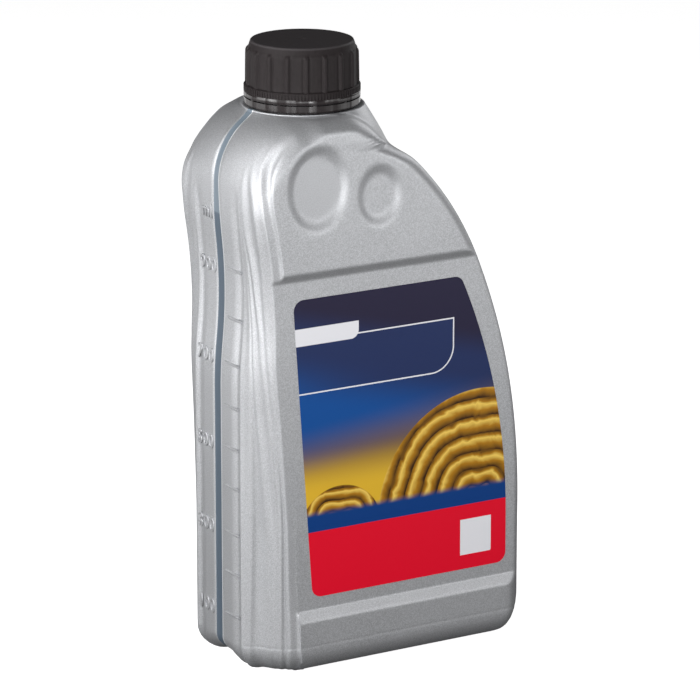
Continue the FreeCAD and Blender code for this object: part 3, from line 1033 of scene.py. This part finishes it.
def makeTeeth():
    # Fine upright serration round the skirt
    group = Group("skirtTeeth")
    stand, width, height = cap["toothSize"]
    radius = group.input("Radius", cap["toothReach"] * mm)
    height = group.input("Height", height * mm)
    width = group.input("Width", width * mm)
    stand = group.input("Stand-off", stand * mm)
    count = group.input("Count", cap["teeth"], "NodeSocketInt")
    circle = group.node("GeometryNodeMeshCircle", Vertices=count, Radius=radius)
    size = group.node("ShaderNodeCombineXYZ", X=stand, Y=width, Z=height)
    tooth = group.node("GeometryNodeMeshCube", Size=size.outputs[0])
    outward = group.node("GeometryNodeInputPosition")
    turn = group.node("FunctionNodeAlignRotationToVector", Vector=outward.outputs[0])
    turn.axis = "X"
    ring = group.node("GeometryNodeInstanceOnPoints", Points=circle.outputs[0], Instance=tooth.outputs[0])
    group.link(turn.outputs[0], ring.inputs["Rotation"])
    moved = group.node("GeometryNodeTransform", Geometry=ring.outputs[0])
    moved.inputs["Translation"].default_value = (body["neckX"] * mm, 0, cap["toothZ"] * mm)
    group.finish(moved.outputs[0], capMaterial)
    applied("skirtTeeth", pointMesh("teethBase", []), group, "cap")


makeTeeth()

thread = {
    "pitch": 4.0,
    "round": 0.72,
    "start": 213.5,
    "neckTurns": 1.75,
    "neckReach": 17.25,
    "capTurns": 1.25,
    "capReach": 18.85,
}


def makeThread(name, reach, start, turns, material, rideOn):
    # Rounded thread as a spiral swept by a small circle
    group = Group(name)
    turnCount = group.input("Turns", turns)
    radius = group.input("Radius", reach * mm)
    height = group.input("Height", turns * thread["pitch"] * mm)
    size = group.input("Profile radius", thread["round"] * mm)
    spiral = group.node("GeometryNodeCurveSpiral", Resolution=72, Rotations=turnCount, Height=height)
    group.link(radius, spiral.inputs["Start Radius"])
    group.link(radius, spiral.inputs["End Radius"])
    profile = group.node("GeometryNodeCurvePrimitiveCircle", Resolution=12, Radius=size)
    swept = group.node("GeometryNodeCurveToMesh", Curve=spiral.outputs[0])
    group.link(profile.outputs[0], swept.inputs["Profile Curve"])
    swept.inputs["Fill Caps"].default_value = True
    moved = group.node("GeometryNodeTransform", Geometry=swept.outputs[0])
    moved.inputs["Translation"].default_value = (body["neckX"] * mm, 0, start * mm)
    group.finish(moved.outputs[0], material)
    made = applied(name, pointMesh(name + "Base", []), group, rideOn)
    for face in made.data.polygons:
        face.use_smooth = True


neckStart, capStart = thread["start"], thread["start"] + thread["pitch"] / 2
neckTurns, neckReach = thread["neckTurns"], thread["neckReach"]
makeThread("neckThread", neckReach, neckStart, neckTurns, shellMaterial, "bottle")
makeThread("capThread", thread["capReach"], capStart, thread["capTurns"], capMaterial, "cap")


def dress(node, material):
    # Gives a CAD node its material and smooth faces
    obj = nodes[node]
    obj.data.materials.clear()
    obj.data.materials.append(material)
    for face in obj.data.polygons:
        face.use_smooth = True


dress("tamper_ring", capMaterial)
dress("cap_liner", makeLinerMaterial())


# Label: print as fields of colour over X and Z, with plain golden ripples for its picture

label = {
    "tab": (-60.0, -15.1, 124.4, 130.9, 3.2),
    "frame": (-60.0, 25.5, 106.4, 126.2, 9.5),
    "frameLine": 0.34,
    "square": (29.0, 42.5, 34.2, 48.0, 0.6),
    "navyFrom": (141, 128),
    "blueFrom": (124, 103),
    "glowFrom": (99, 78),
    "glowTone": (86, 68),
    "bandTop": 60.5,
    "redTop": 53.7,
    "ripples": ((37.0, 54.0, 44.0, 6.8), (-23.0, 52.0, 18.0, 4.4)),
}
# Tones of the print from 0 to 255, and the share at which they are laid on
inks = {
    "night": (38, 34, 60),
    "navy": (36, 50, 92),
    "blue": (14, 78, 150),
    "band": (10, 62, 128),
    "red": (232, 14, 46),
    "white": (235, 235, 240),
    "brown": (58, 38, 12),
    "darkGold": (112, 76, 22),
    "gold": (176, 122, 28),
    "lightGold": (246, 208, 98),
    "dusk": (120, 92, 60),
    "glow": (226, 180, 52),
}
inkGain = 0.9


def linear(color):
    return tuple(min(inkGain * (c / 255) ** 2.2, 1) for c in color)


def makeLabelMaterial():
    tint = {name: linear(color) for name, color in inks.items()}
    film = Shader("labelFilm", tint["blue"], 0.38, Specular_IOR_Level=0.26)
    x, y, z = film.coordinates()[1:]

    def boxDistance(left, right, low, high, corner):
        # Distance outside a rectangle whose lower right corner is rounded
        acrossX = film.minus(x, right - corner)
        acrossZ = film.minus(low + corner, z)
        outX, outZ = film.math("MAXIMUM", acrossX, 0.0), film.math("MAXIMUM", acrossZ, 0.0)
        outside = film.length(outX, outZ)
        inner = film.math("MINIMUM", film.math("MAXIMUM", acrossX, acrossZ), 0.0)
        rounded = film.minus(film.add(outside, inner), corner)
        edges = film.math("MAXIMUM", film.minus(left, x), film.minus(z, high))
        return film.math("MAXIMUM", rounded, edges)

    lean = film.add(z, film.times(film.add(x, 42.0), 0.25))
    color = film.mix(film.step(lean, *label["navyFrom"]), tint["night"], tint["navy"])
    color = film.mix(film.step(lean, *label["blueFrom"]), color, tint["blue"])
    frameAway = boxDistance(*label["frame"])
    framed = film.step(frameAway, 0.1, -0.1)
    color = film.mix(film.times(framed, film.step(x, -60, 10)), color, tint["navy"])
    glow = film.mix(film.step(z, *label["glowTone"]), tint["dusk"], tint["glow"])
    rise = film.add(z, film.times(x, -0.12))
    color = film.mix(film.step(rise, *label["glowFrom"]), color, glow)
    drift = film.noise(0.16, detail=2.0, distortion=0.6)
    for middleX, middleZ, reach, pitch in label["ripples"]:
        dx, dz = film.minus(x, middleX), film.minus(z, middleZ)
        away = film.length(dx, dz)
        turn = film.math("ARCTAN2", dz, dx)
        sweep = film.times(film.math("SINE", film.times(turn, 5.0)), 0.9)
        wave = film.math("FRACT", film.math("DIVIDE", film.add(away, sweep), pitch))
        shade = film.add(film.times(drift, 0.5), -0.25)
        rings = film.ramp(film.add(wave, shade), [
            (0.0, tint["brown"]), (0.1, tint["darkGold"]), (0.38, tint["gold"]), (0.68, tint["lightGold"]),
            (0.82, tint["gold"]), (0.97, tint["darkGold"]),
        ])
        color = film.mix(film.step(away, reach, reach - 0.4), color, rings)
    color = film.mix(film.step(z, label["bandTop"] + 1.6, label["bandTop"] - 1.2), color, tint["band"])
    color = film.mix(film.step(z, label["redTop"] + 0.1, label["redTop"] - 0.1), color, tint["red"])
    line = film.step(film.math("ABSOLUTE", frameAway), label["frameLine"], label["frameLine"] - 0.16)
    color = film.mix(film.times(line, film.step(x, -46, -42)), color, tint["white"])
    for name in ("tab", "square"):
        color = film.mix(film.step(boxDistance(*label[name]), 0.1, -0.1), color, tint["white"])
    film.color(color)
    film.rough(film.blend(film.noise(0.6, detail=2.0), 0.34, 0.42))
    film.bump(film.noise(0.9, detail=2.0), 0.05, 0.05)
    return film.material


dress("front_label", makeLabelMaterial())
print("pieces made")


# Floor, backdrop, light and camera

studio = {
    "floorHalf": 3.0,
    "floorZ": -0.0002,
    "floorNear": 0.25,
    "floorFar": 1.0,
    "floorLit": 1.05,
    "floorDim": 0.05,
    "floorGlow": 0.9,
    "floorPale": (0.9, 0.9, 0.9),
    "dark": (0.01, 0.01, 0.01, 1),
    "white": (1, 1, 1, 1),
    "spread": 130,
}
# Each lamp: place, target, width and height in metres, power in watts
lamps = {
    "keyLeft": ((-0.95, -0.22, 0.55), (0, 0, 0.2), 1.3, 1.1, 8.9),
    "lowFront": ((-0.5, -1.0, 0.2), (0, 0, 0.15), 0.6, 0.35, 2.9),
    "fillFront": ((0.6, -1.1, 0.25), (0, 0, 0.15), 0.7, 0.4, 1.7),
    "rimRight": ((0.9, 0.3, 0.55), (0, 0, 0.15), 0.6, 0.6, 1.3),
    "rimLeft": ((-0.95, 0.3, 0.3), (0, 0, 0.12), 0.7, 0.5, 1.5),
}
view = {
    "lens": 226.3,
    "sensor": 36,
    "clip": (0.05, 30),
    "place": (-0.8106, -1.3423, 0.5426),
    "target": (-0.0009, 0, 0.11075),
}


def makeFloorMaterial():
    # White to the camera with its shadow kept; to every other ray a table that is lit away from the bottle
    pale, dim = studio["floorPale"], (studio["floorDim"],) * 3
    floor = Shader("paleFloor", pale, 0.9, Specular_IOR_Level=0.0)
    seen = floor.node("ShaderNodeLightPath").outputs["Is Camera Ray"]
    x, y, z = floor.coordinates()[1:]
    away = floor.length(x, y)
    lit = floor.node("ShaderNodeMapRange")
    lit.inputs["From Min"].default_value = studio["floorNear"] / mm
    lit.inputs["From Max"].default_value = studio["floorFar"] / mm
    lit.inputs["To Max"].default_value = studio["floorLit"]
    floor.feed(lit.inputs["Value"], away)
    floor.color(floor.mix(seen, dim, pale))
    floor.feed(floor.shader.inputs["Emission Color"], (1, 1, 1))
    glow = floor.blend(seen, lit.outputs[0], studio["floorGlow"])
    floor.feed(floor.shader.inputs["Emission Strength"], glow)
    return floor.material


def makeFloor():
    mesh = bpy.data.meshes.new("floor")
    half, low = studio["floorHalf"], studio["floorZ"]
    corners = [(-half, -half, low), (half, -half, low), (half, half, low), (-half, half, low)]
    mesh.from_pydata(corners, [], [(0, 1, 2, 3)])
    floor = addObject("floor", mesh, makeFloorMaterial())


makeFloor()


def makeWorld():
    # White behind the bottle, dark to its reflections
    world = bpy.data.worlds.new("studio")
    bpy.context.scene.world = world
    world.use_nodes = True
    tree = world.node_tree
    background = tree.nodes["Background"]
    path = tree.nodes.new("ShaderNodeLightPath")
    pick = tree.nodes.new("ShaderNodeMix")
    pick.data_type = "RGBA"
    pick.inputs[6].default_value = studio["dark"]
    pick.inputs[7].default_value = studio["white"]
    tree.links.new(path.outputs["Is Camera Ray"], pick.inputs["Factor"])
    tree.links.new(pick.outputs[2], background.inputs["Color"])
    background.inputs["Strength"].default_value = 1.0


makeWorld()


def addLight(name):
    place, target, width, height, power = lamps[name]
    data = bpy.data.lights.new(name, "AREA")
    data.shape = "RECTANGLE"
    data.size = width
    data.size_y = height
    data.energy = power
    data.spread = math.radians(studio["spread"])
    light = bpy.data.objects.new(name, data)
    bpy.context.scene.collection.objects.link(light)
    light.location = place
    light.rotation_mode = "QUATERNION"
    light.rotation_quaternion = (Vector(target) - Vector(place)).to_track_quat("-Z", "Y")


for name in lamps:
    addLight(name)

scene = bpy.context.scene
scene.view_settings.view_transform = "Standard"

lens = bpy.data.cameras.new("camera")
lens.lens = view["lens"]
lens.sensor_width = view["sensor"]
lens.clip_start, lens.clip_end = view["clip"]
camera = bpy.data.objects.new("camera", lens)
scene.collection.objects.link(camera)
scene.camera = camera
camera.location = view["place"]
camera.rotation_mode = "QUATERNION"
camera.rotation_quaternion = (Vector(view["target"]) - camera.location).to_track_quat("-Z", "Y")

print("scene ready")
